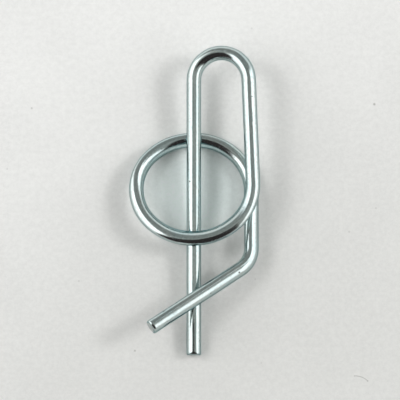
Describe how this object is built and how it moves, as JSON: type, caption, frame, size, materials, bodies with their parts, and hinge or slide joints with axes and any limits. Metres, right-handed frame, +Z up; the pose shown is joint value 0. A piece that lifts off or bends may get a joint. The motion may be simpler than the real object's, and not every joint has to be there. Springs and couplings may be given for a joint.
{
  "type": "hitch r clip pin",
  "caption": "Spring wire clip pin: straight shank, closed finger loop, round eye wound round the shank, and a sloping hook across it.",
  "frame": {"origin": "on the surface the clip lies on, under the middle of its bounding box", "axes": "+Y along the shank towards the finger loop, +X towards the outer leg, +Z up from the surface"},
  "size_m": [0.029, 0.0684, 0.0107],
  "materials": {
    "plated_wire": "bright zinc plate with a pale blue tint on hard-drawn spring wire, fine scuffs and specks"
  },
  "bodies": {
    "root": {"clip_wire": "plated_wire"}
  },
  "joints": []
}
